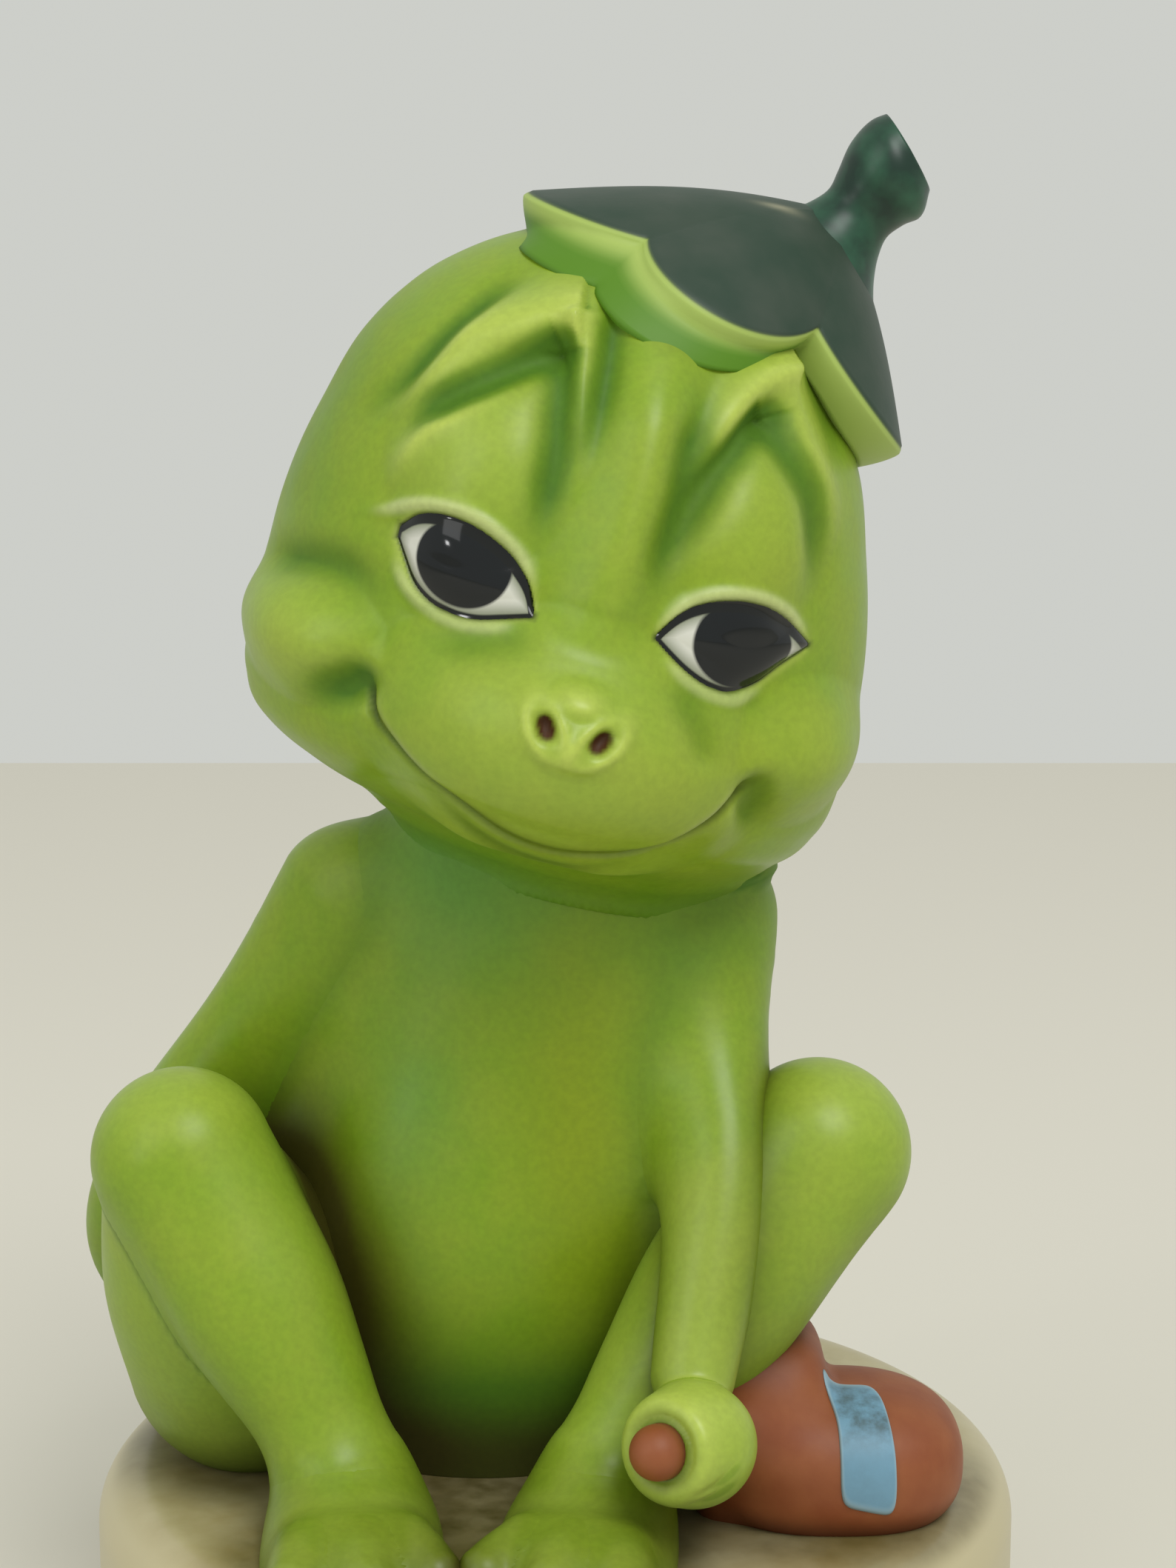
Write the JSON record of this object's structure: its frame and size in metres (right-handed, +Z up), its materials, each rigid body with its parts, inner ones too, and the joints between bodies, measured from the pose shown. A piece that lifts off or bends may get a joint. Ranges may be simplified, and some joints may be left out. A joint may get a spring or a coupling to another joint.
{
  "type": "frog figurine",
  "caption": "Seated ceramic frog with drowsy eyes and a leaf cap, holding a small patched sack on a round drum base; a free-standing shelf ornament.",
  "frame": {"origin": "centre of the round base's resting face", "axes": "+Z up, the frog faces -Y, its left side is towards +X"},
  "size_m": [0.0922, 0.09, 0.1537],
  "materials": {
    "frog_skin": "airbrushed bisque with a satin coat",
    "eye_gloss": "painted and gloss glazed",
    "leaf_green": "painted bisque with a satin coat",
    "stem_green": "gloss glazed",
    "sack_brown": "matte painted bisque",
    "patch_blue": "matte painted bisque",
    "base_cream": "satin with a tan wash"
  },
  "bodies": {
    "root": {"stump_base": "base_cream", "torso": "frog_skin", "head": "frog_skin", "right_eye": "eye_gloss", "left_eye": "eye_gloss", "leaf_cap": "leaf_green", "cap_stem": "stem_green", "right_leg": "frog_skin", "left_leg": "frog_skin", "right_foot": "frog_skin", "left_foot": "frog_skin", "right_arm": "frog_skin", "left_arm": "frog_skin", "right_hand": "frog_skin", "left_hand": "frog_skin", "sack": "sack_brown", "sack_neck": "sack_brown", "sack_patch": "patch_blue"}
  },
  "joints": []
}
